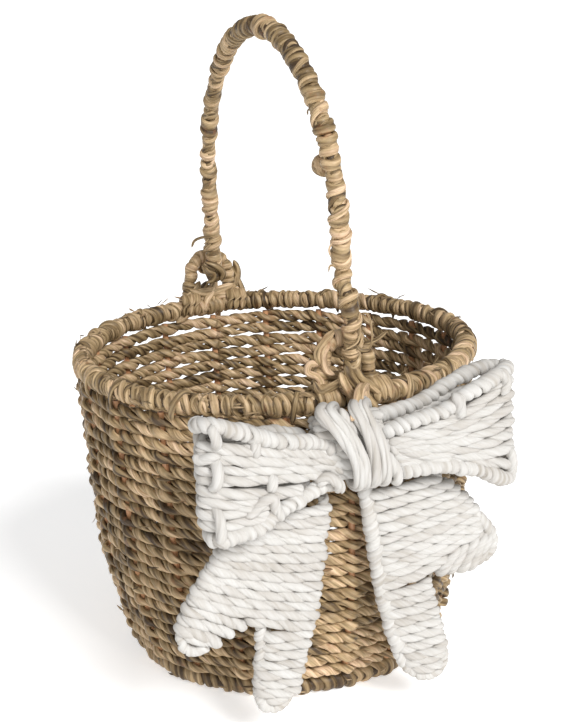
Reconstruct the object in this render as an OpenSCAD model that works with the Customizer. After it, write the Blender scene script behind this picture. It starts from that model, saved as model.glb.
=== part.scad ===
// Flower girl basket: seagrass rope woven on wire stakes, with a bail handle
// hung from ears on the rim and a white paper-rope bow on the front.
// Origin: centre of the foot ring, on the surface it stands on. +Z is up,
// the bow faces -Y, and the handle stands in the YZ plane.

/* [Rim] */
// Radius of the rim hoop's centreline
rim_r = 94.5; // [80:0.5:120]
// Height of the rim hoop's centreline
rim_z = 153.5; // [120:0.5:200]
// Radius of the wrapped rim
rim_wrap_r = 5.5; // [4:0.1:8]
// Radius of the wire inside the rim and the foot ring
hoop_wire_r = 1.75; // [1:0.05:3]

/* [Foot ring] */
// Radius of the foot ring's centreline
foot_r = 72.2; // [60:0.1:90]
// Radius of the wrapped foot ring
foot_wrap_r = 5.6; // [4:0.1:8]
// Height of its centreline: the wrap is pressed flat where it stands
foot_z = 5.2; // [4:0.1:8]

/* [Woven wall] */
// Number of twined rows up the wall
rows = 22; // [12:1:30]
// Height of the lowest row
row_first_z = 14.5; // [12:0.1:20]
// Height of the highest row
row_last_z = 142.3; // [120:0.1:150]
// Thickness of each ply wall
ply_t = 2.8; // [1.5:0.1:4]
// How far each row swells out
row_swell = 0.9; // [0:0.1:2]
// Radius of the upright stakes
stake_r = 1.6; // [1:0.1:2.5]
// Number of upright stakes
stakes_n = 20; // [12:2:32]

/* [Floor] */
// Radius of the upper floor layer
floor_top_r = 71.6; // [60:0.1:80]
// Radius of the lower floor layer
floor_low_r = 66.2; // [55:0.1:80]
// Number of rods crossing the floor
floor_rods_n = 10; // [6:1:16]

/* [Ears] */
// Distance of the front ear from the basket's axis: the handle passes outside it
ear_front_y = 88.6; // [86:0.1:92]
// Distance of the back ear from the basket's axis: the handle passes inside it
ear_back_y = 98; // [95:0.5:105]
// Radius of an ear's rounded top
ear_bend_r = 10; // [6:0.1:12]
// Height of the centre of the ear's rounded top
ear_bend_z = 170.6; // [165:0.1:190]
// Radius of the wrapped ear
ear_wrap_r = 3.8; // [3:0.1:5]
// Radius of the ear's wire
ear_wire_r = 1.5; // [1:0.05:2.5]

/* [Handle] */
// Half the span of the handle, to its centreline
handle_span = 88.5; // [80:0.5:92]
// Distance from the axis of the front leg's lower end, bent out past its ear
leg_front_y = 97.8; // [95:0.1:102]
// Height of the handle's top, to its centreline
handle_top = 310; // [250:1:360]
// Radius of the wrapped handle
handle_wrap_r = 5; // [4:0.1:7]
// Radius of the handle's wire
handle_wire_r = 1.7; // [1:0.05:3]
// Height of the pin that each handle end turns on
pin_z = 173.4; // [165:0.1:185]
// Height of the lower end of the front leg's lashing
lash_front_z = 165.6; // [164:0.1:172]
// Height of the lower end of the back leg's lashing
lash_back_z = 168; // [164:0.5:172]
// Radius of the lashing sleeve round each pin
sleeve_r = 2.9; // [2.2:0.05:3.2]

/* [Bow] */
// Radius of the rope-wrapped bow edges
bow_edge_r = 3.5; // [2.5:0.1:5]
// Radius of the wire inside each edge
bow_wire_r = 1; // [0.6:0.05:2]
// Thickness of the rope filling
bow_fill_t = 4.4; // [2:0.1:6]
// Radius of the ropes of the centre knot
knot_rope_r = 2.4; // [1.5:0.1:4]
// Distance of the tails from the basket's axis
tail_y = 104.8; // [103:0.1:110]

/* [Hidden] */
gap = 0.3;
$fn = 48;
row_pitch = (row_last_z - row_first_z) / (rows - 1);
// middle of the wall: [radius, height] where each stake bends
wall = [[77.3, 12.2], [80.6, 22], [83.6, 36], [88.8, 55], [91.5, 90], [93.9, 131], [94.4, 147.6]];
arch_z = handle_top - handle_span;
ply_in = stake_r + gap;

straw = [0.72, 0.6, 0.42];
wood_brown = [0.68, 0.45, 0.28];
steel = [0.6, 0.6, 0.62];
white = [0.95, 0.95, 0.93];

// radius of the wall's middle at a height
function wall_r(z) = lookup(z, [for (p = wall) [p[1], p[0]]]);

// a ring of m points of radius r round p, square to t; ref is a direction off the path
function ring(p, t, ref, r, m) = let (
    n = cross(t, ref), u = n / norm(n), w = cross(u, t) / norm(t))
  [for (j = [0 : m - 1]) p + r * (cos(360 * j / m) * u + sin(360 * j / m) * w)];

// direction of a path at its i-th point
function dir(p, i, closed) = let (n = len(p),
    a = closed ? p[(i + n - 1) % n] : p[max(i - 1, 0)],
    b = closed ? p[(i + 1) % n] : p[min(i + 1, n - 1)],
    u = norm(p[i] - a) > 0 ? (p[i] - a) / norm(p[i] - a) : [0, 0, 0],
    v = norm(b - p[i]) > 0 ? (b - p[i]) / norm(b - p[i]) : [0, 0, 0])
  (u + v) / norm(u + v);

// triangles that join rings n0..n1 of m points each, lying at offset o in every k points
function sides(n, m, k, o, closed, flip) = [
  for (i = [0 : closed ? n - 1 : n - 2], j = [0 : m - 1], h = [0, 1]) let (
    a = i * k + o, b = ((i + 1) % n) * k + o, j2 = (j + 1) % m,
    f = h == 0 ? [a + j, b + j, a + j2] : [a + j2, b + j, b + j2])
  flip ? [f[2], f[1], f[0]] : f];

// a solid skinned over rings of m points
module skin(rings, closed = false) {
  n = len(rings);
  m = len(rings[0]);
  polyhedron(points = [for (r = rings) each r], faces = concat(sides(n, m, m, 0, closed, false),
    closed ? [] : [[for (j = [0 : m - 1]) j], [for (j = [m - 1 : -1 : 0]) (n - 1) * m + j]]));
}

// a round rod that follows a path
module run(path, r, ref, closed = false, m = 10)
  skin([for (i = [0 : len(path) - 1]) ring(path[i], dir(path, i, closed), ref, r, m)], closed);

// rope wrapped on a wire along a path: a rod with a clear bore for the wire
module wrap_run(path, r, bore, ref, closed = false, m = 10) {
  n = len(path);
  k = 2 * m;
  polyhedron(
    points = [for (i = [0 : n - 1]) each concat(
      ring(path[i], dir(path, i, closed), ref, r, m),
      ring(path[i], dir(path, i, closed), ref, bore, m))],
    faces = concat(sides(n, m, k, 0, closed, false), sides(n, m, k, m, closed, true),
      closed ? [] : [for (j = [0 : m - 1], h = [0, 1]) let (j2 = (j + 1) % m)
        h == 0 ? [j, j2, m + j] : [j2, m + j2, m + j]],
      closed ? [] : [for (j = [0 : m - 1], h = [0, 1]) let (j2 = (j + 1) % m, e = (n - 1) * k)
        h == 0 ? [e + j, e + m + j, e + j2] : [e + j2, e + m + j, e + m + j2]]));
}

// ---- basket ----
module rim_wire() color(steel)
  rotate_extrude() translate([rim_r, rim_z]) circle(r = hoop_wire_r);

module rim_wrap() color(straw) difference() {
  rotate_extrude() translate([rim_r, rim_z]) circle(r = rim_wrap_r);
  rotate_extrude() translate([rim_r, rim_z]) circle(r = hoop_wire_r + gap);
}

module foot_wire() color(steel)
  rotate_extrude() translate([foot_r, foot_z]) circle(r = hoop_wire_r);

module foot_wrap() color(straw) difference() {
  rotate_extrude() translate([foot_r, foot_z]) circle(r = foot_wrap_r);
  rotate_extrude() translate([foot_r, foot_z]) circle(r = hoop_wire_r + gap);
  translate([0, 0, -5]) cylinder(h = 5, r = foot_r + foot_wrap_r + 1);
}

// upright rods, bent to the wall's shape
module stakes() color(wood_brown)
  for (k = [0 : stakes_n - 1]) rotate([0, 0, k * 360 / stakes_n])
    run([for (p = wall) [0, -p[0], p[1]]], stake_r, [1, 0, 0], m = 8);

// one ply wall of all the rows: s = 1 outside the stakes, -1 inside them
module ply(s) {
  low = row_first_z - row_pitch / 2;
  rotate_extrude() polygon(concat(
    [for (i = [0 : 2 * rows]) let (z = low + i * row_pitch / 2)
      [wall_r(z) + s * (ply_in + ply_t + (i % 2 == 1 ? row_swell : 0)), z]],
    [for (i = [len(wall) - 2 : -1 : 1]) if (wall[i][1] > low + 1)
      [wall[i][0] + s * ply_in, wall[i][1]]],
    [[wall_r(low) + s * ply_in, low]]));
}

module weave_outer_ply() color(straw) ply(1);
module weave_inner_ply() color(straw) ply(-1);

// rods that cross under the woven floor, joined at a middle plate
module floor_rods() color(wood_brown) {
  for (k = [0 : 2 * floor_rods_n - 1]) rotate([0, 0, k * 180 / floor_rods_n])
    translate([11.2, 0, 10.2]) rotate([0, 90, 0]) cylinder(h = 56.3, r = 1.5);
  translate([0, 0, 8.8]) cylinder(h = 2.8, r = 11);
}

module floor_weave_top() color(straw)
  translate([0, 0, 12]) cylinder(h = 2.6, r = floor_top_r);

module floor_weave_bottom() color(straw)
  translate([0, 0, 5.8]) cylinder(h = 2.6, r = floor_low_r);

// path of a wire loop shaped like an upturned U with splayed legs, standing on the rim
function ear_path(y, foot) = let (splay = 10, c = ear_bend_r * cos(splay),
    z = ear_bend_z + ear_bend_r * sin(splay), d = z - foot)
  concat([[c + d * tan(splay), y, foot]],
    [for (i = [0 : 8]) let (a = splay + i * (180 - 2 * splay) / 8)
      [ear_bend_r * cos(a), y, ear_bend_z + ear_bend_r * sin(a)]],
    [[-c - d * tan(splay), y, foot]]);

module ear_wrap(y) wrap_run(ear_path(y, 160), ear_wrap_r, ear_wire_r + gap, [0, 1, 0], m = 12);
module ear_wire(y) run(ear_path(y, 160), ear_wire_r, [0, 1, 0], m = 12);

module ear_front_wire() color(steel) ear_wire(-ear_front_y);
module ear_front_wrap() color(straw) ear_wrap(-ear_front_y);
module ear_back_wire() color(steel) ear_wire(ear_back_y);
module ear_back_wrap() color(straw) ear_wrap(ear_back_y);

// ---- bow ----
// path of each loop's upper and lower edge: out along the front, back behind
left_top = [[-27.5, -115, 143.5], [-39.5, -118.3, 146.8], [-56.5, -120.5, 153], [-69.5, -120.4, 158.4],
  [-75.8, -117.6, 159.3], [-78.2, -112.5, 158.6], [-74, -106.6, 156.4], [-62, -104.4, 151.2],
  [-44, -104.2, 147.2], [-27.5, -105, 143.5]];
left_bottom = [[-27.5, -115, 121.7], [-39.5, -118.3, 118.6], [-54, -120.4, 111.8], [-66, -121, 109.8],
  [-72.5, -119.2, 109], [-75.2, -113, 108.8], [-71, -106.6, 109.5], [-59, -104.6, 112.2],
  [-44, -104.2, 118.4], [-27.5, -105, 123.5]];
right_top = [[8.2, -114, 143], [18, -116.9, 146], [31.5, -119.4, 149], [41.5, -120.7, 155],
  [55.7, -120.6, 160.5], [65, -117, 162.3], [69.5, -111, 161.8], [65, -105, 161.4],
  [50, -104.2, 158.8], [37.5, -104.2, 153.7], [24, -104.3, 149.2], [8.2, -105, 146.5]];
right_bottom = [[8.2, -114, 124.5], [18, -116.9, 124.2], [31.5, -119.4, 124.2], [41.5, -120.7, 122],
  [54, -120.6, 117], [63, -118.6, 112.4], [68.8, -111.5, 111.8], [64, -105.2, 112.3],
  [50, -104.2, 116.8], [37.5, -104.2, 121], [24, -104.3, 125], [8.2, -105, 128]];

// the rope filling of a loop: a ribbon between its upper and lower edges
module loop_fill(top, bottom) {
  e = (bow_edge_r + gap) * 1.08;
  skin([for (i = [0 : len(top) - 1]) let (
      d = dir(top, i, false), q = [d[1], -d[0], 0] / norm([d[0], d[1]]) * bow_fill_t / 2,
      a = top[i] - [0, 0, e], b = bottom[i] + [0, 0, e])
    [a + q, a - q, b - q, b + q]]);
}

up = [0, 0, 1];
module bow_left_top_wire() color(steel) run(left_top, bow_wire_r, up);
module bow_left_top_edge() color(white) wrap_run(left_top, bow_edge_r, bow_wire_r + gap, up);
module bow_left_bottom_wire() color(steel) run(left_bottom, bow_wire_r, up);
module bow_left_bottom_edge() color(white) wrap_run(left_bottom, bow_edge_r, bow_wire_r + gap, up);
module bow_left_fill() color(white) loop_fill(left_top, left_bottom);
module bow_right_top_wire() color(steel) run(right_top, bow_wire_r, up);
module bow_right_top_edge() color(white) wrap_run(right_top, bow_edge_r, bow_wire_r + gap, up);
module bow_right_bottom_wire() color(steel) run(right_bottom, bow_wire_r, up);
module bow_right_bottom_edge() color(white)
  wrap_run(right_bottom, bow_edge_r, bow_wire_r + gap, up);
module bow_right_fill() color(white) loop_fill(right_top, right_bottom);

// the pinched middle of the ribbons, inside the knot
module bow_core() color(white)
  translate([-21, -114.8, 123]) cube([24.5, 7.6, 30]);

// slanted rope turns round the middle
module bow_knot() color(white)
  for (i = [0 : 4]) {
    x = -20 + 5.4 * i;
    w = 3.5;
    run([[x - w, -117.8, 156], [x + w, -117.8, 121.5], [x + w, -115, 119.6], [x + w, -105.5, 119.6],
      [x + w, -102.8, 122], [x - w, -102.8, 145.2], [x - w, -105.4, 158], [x - w, -115, 158.2]],
      knot_rope_r, [1, 0, 0], true);
  }

// a seagrass strand that ties the knot to the rim
module bow_tie() color(straw)
  run([[2.5, -102.3, 156.5], [1, -104.5, 161.6], [-4, -111, 162.6], [-8, -121.6, 159.5],
    [-10, -122.6, 152]], 1.3, [1, 0, 0]);

left_tail = [[-15.5, 112.5], [-17.3, 96.8], [-24.7, 61.4], [-32.2, 31.3], [-38.5, 20], [-47.5, 15.5],
  [-54.5, 22], [-54.7, 36.4], [-53.8, 58], [-59, 62], [-71.3, 53.5], [-80, 51], [-87.5, 61],
  [-81.6, 74.3], [-72, 95]];
right_tail = [[-1.5, 112], [0.5, 99.8], [5.4, 61.6], [10.6, 45], [20.5, 22], [31, 14.5], [39.5, 20],
  [40.5, 27], [33.6, 60], [37, 66.5], [48.4, 68], [60, 70.2], [66.6, 76], [65.5, 82.5],
  [42.1, 104]];

// points pulled in from an outline's corners by d
function inset(p, d) = [for (i = [0 : len(p) - 1]) let (
    n = len(p), a = p[(i + n - 1) % n], b = p[i], c = p[(i + 1) % n],
    u = (b - a) / norm(b - a), v = (c - b) / norm(c - b),
    m = [-u[1], u[0]] + [-v[1], v[0]], k = max(0.55, (m * m) / 4))
  b + d * m / 2 / k];

function at_tail(p) = [for (q = p) [q[0], -tail_y, q[1]]];

// the filling inside a tail's edge; its first corner is cut back from the edge's open end
module tail_fill(outline, side) {
  p = inset(outline, side * (2 * bow_edge_r + gap));
  translate([0, -tail_y + bow_fill_t / 2, 0]) rotate([90, 0, 0])
    linear_extrude(height = bow_fill_t) polygon([for (i = [0 : len(p) - 1])
      i == 0 ? p[0] + [side * 3.6, -3.4] : p[i]]);
}

module tail_left_wire() color(steel)
  run(at_tail(inset(left_tail, -bow_edge_r)), bow_wire_r, [0, 1, 0]);
module tail_left_edge() color(white)
  wrap_run(at_tail(inset(left_tail, -bow_edge_r)), bow_edge_r, bow_wire_r + gap, [0, 1, 0]);
module tail_left_fill() color(white) tail_fill(left_tail, -1);
module tail_right_wire() color(steel)
  run(at_tail(inset(right_tail, bow_edge_r)), bow_wire_r, [0, 1, 0]);
module tail_right_edge() color(white)
  wrap_run(at_tail(inset(right_tail, bow_edge_r)), bow_edge_r, bow_wire_r + gap, [0, 1, 0]);
module tail_right_fill() color(white) tail_fill(right_tail, 1);

// ---- handle ----
// the bend of the front leg: how far out it has gone at a height
function lean(z) = let (t = min(max((211 - z) / 20, 0), 1))
  handle_span + (leg_front_y - handle_span) * t * t * (3 - 2 * t);

// path of the handle, from a height on the back leg over to a height on the front leg
function handle_path(low) = concat(
  [[0, handle_span, low], [0, handle_span, 200]],
  [for (a = [0 : 4.5 : 180]) [0, handle_span * cos(a), arch_z + handle_span * sin(a)]],
  [for (z = [211 : -2.5 : 191]) [0, -lean(z), z]],
  [[0, -leg_front_y, low]]);

// the wire goes on past the wrapping: each end turns and runs through its ear
module handle_wire() color(steel) run(concat(
  [[0, 106, pin_z], [0, handle_span + 1.5, pin_z], [0, handle_span + 0.44, pin_z + 0.44]],
  handle_path(pin_z + 1.5),
  [[0, -leg_front_y + 0.44, pin_z + 0.44], [0, -leg_front_y + 1.5, pin_z], [0, -81, pin_z]]),
  handle_wire_r, [1, 0, 0], m = 10);

module handle_wrap() color(straw)
  wrap_run(handle_path(pin_z + 2.9), handle_wrap_r, handle_wire_r + gap, [1, 0, 0], m = 16);

// the knot where two wrapping strands meet, on the inner side of the front leg
module handle_knot() color(straw) difference() {
  translate([0, -71.5, 256]) sphere(r = 5);
  translate([0, 0, arch_z]) rotate([90, 0, 90]) rotate_extrude(angle = 180)
    translate([handle_span, 0]) circle(r = handle_wrap_r + 0.2);
}

// a lashing over the wire's bend at the foot of a leg; s = 1 where the pin runs towards +Y
module lashing(y, low, r) difference() {
  translate([0, y, low]) cylinder(h = pin_z + 2.6 - low, r = r);
  translate([0, y, pin_z]) {
    sphere(r = handle_wire_r + gap);
    cylinder(h = 5, r = handle_wire_r + gap);
    rotate([-90, 0, 0]) cylinder(h = 12, r = handle_wire_r + gap);
  }
}

module handle_lashings() color(straw) {
  lashing(handle_span, lash_back_z, 4.6);
  lashing(-leg_front_y, lash_front_z, 4.9);
}

// lashing sleeves that turn in the ears
module hinge_sleeves() color(straw)
  for (y = [-92.6, 93.6]) translate([0, y, pin_z]) rotate([-90, 0, 0]) difference() {
    cylinder(h = 8.1, r = sleeve_r);
    translate([0, 0, -1]) cylinder(h = 11, r = handle_wire_r + gap);
  }

// curled wire ends that keep the pins in the ears
module hinge_curls() color(straw) {
  translate([0, 102.4, pin_z]) rotate([-90, 0, 0]) difference() {
    cylinder(h = 4.6, r = 4.6);
    translate([0, 0, -1]) cylinder(h = 4.9, r = handle_wire_r + gap);
  }
  translate([0, -84.2, pin_z]) rotate([-90, 0, 0]) difference() {
    cylinder(h = 4.6, r = 4.6);
    translate([0, 0, -1]) cylinder(h = 4.5, r = handle_wire_r + gap);
  }
}

rim_wire();
rim_wrap();
foot_wire();
foot_wrap();
stakes();
weave_outer_ply();
weave_inner_ply();
floor_rods();
floor_weave_top();
floor_weave_bottom();
ear_front_wire();
ear_front_wrap();
ear_back_wire();
ear_back_wrap();
bow_left_top_wire();
bow_left_top_edge();
bow_left_bottom_wire();
bow_left_bottom_edge();
bow_left_fill();
bow_right_top_wire();
bow_right_top_edge();
bow_right_bottom_wire();
bow_right_bottom_edge();
bow_right_fill();
bow_core();
bow_knot();
bow_tie();
tail_left_wire();
tail_left_edge();
tail_left_fill();
tail_right_wire();
tail_right_edge();
tail_right_fill();
handle_wire();
handle_wrap();
handle_knot();
handle_lashings();
hinge_sleeves();
hinge_curls();
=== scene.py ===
import bpy
import math
import numpy as np
from mathutils import Matrix, Vector


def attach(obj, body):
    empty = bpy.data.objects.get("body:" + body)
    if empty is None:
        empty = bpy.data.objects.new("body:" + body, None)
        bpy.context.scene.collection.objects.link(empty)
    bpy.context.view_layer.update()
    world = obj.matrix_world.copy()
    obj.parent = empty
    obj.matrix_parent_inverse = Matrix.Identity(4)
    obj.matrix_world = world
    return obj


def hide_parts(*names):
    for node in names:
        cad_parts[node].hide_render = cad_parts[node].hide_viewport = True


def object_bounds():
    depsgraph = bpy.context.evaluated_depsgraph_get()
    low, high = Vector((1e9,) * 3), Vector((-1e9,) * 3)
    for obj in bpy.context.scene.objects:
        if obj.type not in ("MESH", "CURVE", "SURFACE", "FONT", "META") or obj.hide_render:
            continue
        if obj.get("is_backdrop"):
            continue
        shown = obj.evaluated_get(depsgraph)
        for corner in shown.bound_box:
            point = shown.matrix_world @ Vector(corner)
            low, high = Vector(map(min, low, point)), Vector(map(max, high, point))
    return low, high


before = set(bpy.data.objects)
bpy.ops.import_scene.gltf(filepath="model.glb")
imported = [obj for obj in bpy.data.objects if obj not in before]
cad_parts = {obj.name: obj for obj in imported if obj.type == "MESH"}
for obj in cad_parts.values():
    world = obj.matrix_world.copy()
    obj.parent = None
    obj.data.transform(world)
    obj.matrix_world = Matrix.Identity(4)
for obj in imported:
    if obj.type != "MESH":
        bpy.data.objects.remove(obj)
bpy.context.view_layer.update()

MM = 0.001
TAU = 2 * math.pi
STEP = 0.9             # between the rings of a strand, in millimetres
FINE = STEP * MM

# ---------------------------------------------------------------- camera
AZ, EL, ROLL = math.radians(-21.0), math.radians(16.45), math.radians(2.3)
DISTANCE = 0.8
LENS, SENSOR = 80.1274, 36
back = Vector((math.sin(AZ) * math.cos(EL), -math.cos(AZ) * math.cos(EL), math.sin(EL)))
right = Vector((math.cos(AZ), math.sin(AZ), 0))
up = right.cross(-back)
aim = right * 0.0074 + Vector((0, 0, 0.1456))
cx = right * math.cos(ROLL) - up * math.sin(ROLL)
cy = right * math.sin(ROLL) + up * math.cos(ROLL)
cam_data = bpy.data.cameras.new("camera")
cam = bpy.data.objects.new("camera", cam_data)
bpy.context.scene.collection.objects.link(cam)
m = Matrix.Identity(4)
for i in range(3):
    m[i][0], m[i][1], m[i][2] = cx[i], cy[i], back[i]
    m[i][3] = (aim + back * DISTANCE)[i]
cam.matrix_world = m
cam_data.sensor_width = SENSOR
cam_data.lens = LENS
cam_data.clip_start, cam_data.clip_end = 0.01, 50
bpy.context.scene.camera = cam


# ---------------------------------------------------------------- mesh helpers
def noise1(t, seed, period, cycle=None):
    """Smooth noise from -1 to 1 along t, repeating after cycle where that is given."""
    t = np.asarray(t, float)
    if cycle:
        n = max(3, int(round(cycle / period)))
        v = np.random.default_rng(seed).uniform(-1, 1, n)
        x = t / cycle * n
    else:
        n = int(abs(t).max() / period) + 4
        v = np.random.default_rng(seed).uniform(-1, 1, n)
        x = np.abs(t) / period
    i = np.floor(x).astype(int)
    f = x - i
    f = f * f * (3 - 2 * f)
    return v[i % n] * (1 - f) + v[(i + 1) % n] * f


def run_length(P):
    """The distance of each point from the first, along the path."""
    return np.concatenate([[0], np.cumsum(np.linalg.norm(np.diff(P, axis=0), axis=1))])


def resample(P, step, closed=False):
    """Points at even steps along a smooth curve through P."""
    P = np.asarray(P, float)
    if closed:
        Q = np.vstack([P[-1], P, P[0], P[1]])
    else:
        Q = np.vstack([2 * P[0] - P[1], P, 2 * P[-1] - P[-2]])
    out = []
    for i in range(1, len(Q) - 2):
        t = np.linspace(0, 1, 24, endpoint=False)[:, None]
        a, b, c, d = Q[i - 1], Q[i], Q[i + 1], Q[i + 2]
        out.append(0.5 * (2 * b + (c - a) * t + (2 * a - 5 * b + 4 * c - d) * t ** 2
                          + (3 * b - a - 3 * c + d) * t ** 3))
    C = np.vstack(out + ([] if closed else [P[-1:]]))
    D = np.vstack([C, C[:1]]) if closed else C
    s = run_length(D)
    n = max(4, int(round(s[-1] / step)))
    t = np.linspace(0, s[-1], n, endpoint=not closed)
    return np.stack([np.interp(t, s, D[:, k]) for k in range(3)], 1)


def unit(v):
    return v / np.maximum(np.linalg.norm(v, axis=-1, keepdims=True), 1e-12)


def tangents(P, closed):
    if closed:
        return unit(np.roll(P, -1, 0) - np.roll(P, 1, 0))
    return unit(np.gradient(P, axis=0))


def square_to(out, T):
    """Unit vectors square to the tangents T, on the side that out points to."""
    out = np.broadcast_to(np.asarray(out, float), T.shape)
    return unit(out - (out * T).sum(1, keepdims=True) * T)


def strand(P, out, a, b, sides=10, closed=False, tone=0.5, tone_var=0.1, seed=0,
           ridge=0.1, lobes=4, fibre_twist=90.0, taper=0.0, zmin=None, crease_shade=0.85):
    """A strand along P. out points away from what it lies on; a and b are its half width and
    half thickness. Gives vertices, the sides' grid size, and the attributes of its fibres."""
    n = len(P)
    T = tangents(P, closed)
    U = square_to(out, T)
    W = np.cross(T, U)
    s = run_length(P)
    a = np.broadcast_to(a, (n,)).astype(float).copy()
    b = np.broadcast_to(b, (n,)).astype(float).copy()
    if taper and not closed:
        e = np.minimum(s, s[-1] - s)
        k = np.sqrt(np.clip(e / taper, 0.02, 1))
        a *= k
        b *= k
    ang = np.arange(sides) / sides * TAU
    ph = s * fibre_twist
    if closed:
        whole = s[-1] + np.linalg.norm(P[0] - P[-1])
        ph = s / whole * TAU * 5 * max(1, round(whole * fibre_twist / TAU / 5))
    ph = ph[:, None]
    cr = np.abs(np.sin(0.5 * lobes * ang[None] + ph * 0.5 + seed)) ** 0.6
    c2 = np.abs(np.sin(0.5 * (lobes + 2) * ang[None] - 0.8 * ph + 2.3 * seed)) ** 0.6
    rr = 1 + ridge * 1.6 * (cr - 0.75) + ridge * 0.8 * (c2 - 0.75)
    x = a[:, None] * np.cos(ang)[None] * rr
    y = b[:, None] * np.sin(ang)[None] * rr
    V = P[:, None] + x[..., None] * W[:, None] + y[..., None] * U[:, None]
    if zmin is not None:
        V[..., 2] = np.maximum(V[..., 2], zmin)
    fa = ang[None] + ph * 0.35
    off = (seed * 7.31) % 50
    fib = np.stack([np.cos(fa) * 1.0 + off, np.sin(fa) * 1.0,
                    np.broadcast_to((s * 55)[:, None], fa.shape)], -1)
    tn = tone + tone_var * noise1(s, seed + 11, 0.018)
    # painted shade: the tone is darkened in the creases between the strand's ridges, and lifted a little on
    # the ridges as a painted highlight
    tn = tn[:, None] + crease_shade * (0.7 * (cr - 0.78) + 0.3 * (c2 - 0.78))
    return dict(V=V.reshape(-1, 3), n=n, m=sides, closed=closed, fib=fib.reshape(-1, 3),
                tone=tn.reshape(-1))


def build(name, strands, material, body, replaces=()):
    """One mesh object from many strands."""
    co, fb, tn, loops, starts, totals = [], [], [], [], [], []
    base = 0
    for st in strands:
        n, k = st["n"], st["m"]
        co.append(st["V"])
        fb.append(st["fib"])
        tn.append(st["tone"])
        i = np.arange(n if st["closed"] else n - 1)[:, None]
        j = np.arange(k)[None]
        i2, j2 = (i + 1) % n, (j + 1) % k
        q = np.stack([i * k + j, i * k + j2, i2 * k + j2, i2 * k + j], -1).reshape(-1, 4) + base
        loops.append(q.reshape(-1))
        totals.append(np.full(len(q), 4))
        if not st["closed"]:
            loops.append(np.arange(k)[::-1] + base)
            loops.append(np.arange(k) + (n - 1) * k + base)
            totals.append(np.array([k, k]))
        base += n * k
    co, fb, tn = np.vstack(co), np.vstack(fb), np.concatenate(tn)
    loops, totals = np.concatenate(loops), np.concatenate(totals)
    starts = np.concatenate([[0], np.cumsum(totals)[:-1]])
    me = bpy.data.meshes.new(name)
    me.vertices.add(len(co))
    me.loops.add(len(loops))
    me.polygons.add(len(totals))
    me.vertices.foreach_set("co", co.astype(np.float32).ravel())
    me.loops.foreach_set("vertex_index", loops.astype(np.int32))
    me.polygons.foreach_set("loop_start", starts.astype(np.int32))
    me.polygons.foreach_set("loop_total", totals.astype(np.int32))
    me.polygons.foreach_set("use_smooth", np.ones(len(totals), bool))
    me.update(calc_edges=True)
    fib = me.attributes.new("fib", "FLOAT_VECTOR", "POINT")
    fib.data.foreach_set("vector", fb.astype(np.float32).ravel())
    tone = me.attributes.new("tone", "FLOAT", "POINT")
    tone.data.foreach_set("value", tn.astype(np.float32))
    me.materials.append(material)
    ob = bpy.data.objects.new(name, me)
    bpy.context.scene.collection.objects.link(ob)
    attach(ob, body)
    if replaces:
        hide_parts(*replaces)


def wrap(path, out_ref, pitch, r_out, a, b, seed, closed=False, tone=(0.3, 0.8), step=FINE,
         slant=0.0, jit=0.7 * MM, rough=0.35 * MM, sides=8, drop=None, **kw):
    """A strand wound round a path. The first turn starts on the side that out_ref points to.
    r_out is the wound radius, slant leans the turns along the path, jit and rough make them
    uneven along it and across it, and drop changes the radius by the distance along it."""
    C = resample(path, 0.5 * MM, closed)
    T = tangents(C, closed)
    ref = square_to(out_ref, T)
    B = np.cross(T, ref)
    L = run_length(np.vstack([C, C[:1]]) if closed else C)[-1]
    turns = max(1, int(round(L / pitch)))
    n = int(turns * max(12, TAU * (r_out - b) / step))
    tau = np.linspace(0, turns, n, endpoint=not closed)
    al = TAU * tau
    g = np.random.default_rng(seed)

    def rnd(lo, hi):
        """One random value for each turn, joined smoothly."""
        v = g.uniform(lo, hi, turns)
        return np.interp(tau, np.arange(turns + 1), np.append(v, v[0]))

    shift = slant * np.sin(al) + rnd(-jit, jit) + jit * 0.8 * noise1(tau, seed + 5, 0.37, turns)
    pos = L / turns * tau + shift
    if closed:
        pos = pos % L
        idx = pos / L * len(C)
        i0 = np.floor(idx).astype(int) % len(C)
        i1 = (i0 + 1) % len(C)
    else:
        pos = np.clip(pos, 0, L)
        idx = pos / L * (len(C) - 1)
        i0 = np.clip(np.floor(idx).astype(int), 0, len(C) - 2)
        i1 = i0 + 1
    f = (idx - np.floor(idx))[:, None]

    def lerp(X):
        return X[i0] * (1 - f) + X[i1] * f

    c, nr, bi = lerp(C), unit(lerp(ref)), unit(lerp(B))
    rad = (r_out - b) + rough * (noise1(tau, seed + 7, 0.45, turns) - 0.6) + rnd(-rough, rough * 0.3)
    dirv = nr * np.cos(al)[:, None] + bi * np.sin(al)[:, None]
    if drop is not None:
        rad = rad + drop(pos)
    P = c + dirv * rad[:, None]
    wa = a * (1 + 0.18 * noise1(tau, seed + 9, 0.8, turns)) * rnd(0.85, 1.12)
    wb = b * (1 + 0.15 * noise1(tau, seed + 3, 0.5, turns))
    tn = rnd(tone[0], tone[1])
    st = strand(P, dirv, wa, wb, sides=sides, closed=closed, tone=0, tone_var=0.08, seed=seed, **kw)
    st["tone"] = st["tone"] + np.repeat(tn, sides)
    return st


# ---------------------------------------------------------------- materials
def material(name):
    mt = bpy.data.materials.new(name)
    mt.use_nodes = True
    nt = mt.node_tree
    bs = nt.nodes["Principled BSDF"]
    return mt, nt, bs


def node(nt, kind, **inputs):
    nd = nt.nodes.new(kind)
    for k, v in inputs.items():
        nd.inputs[k.replace("_", " ")].default_value = v
    return nd


def ramp(nt, stops):
    nd = nt.nodes.new("ShaderNodeValToRGB")
    cr = nd.color_ramp
    while len(cr.elements) > 1:
        cr.elements.remove(cr.elements[0])
    cr.elements[0].position = stops[0][0]
    cr.elements[0].color = (*stops[0][1], 1)
    for p, c in stops[1:]:
        e = cr.elements.new(p)
        e.color = (*c, 1)
    return nd


def attribute(nt, name):
    nd = nt.nodes.new("ShaderNodeAttribute")
    nd.attribute_name = name
    return nd


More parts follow.
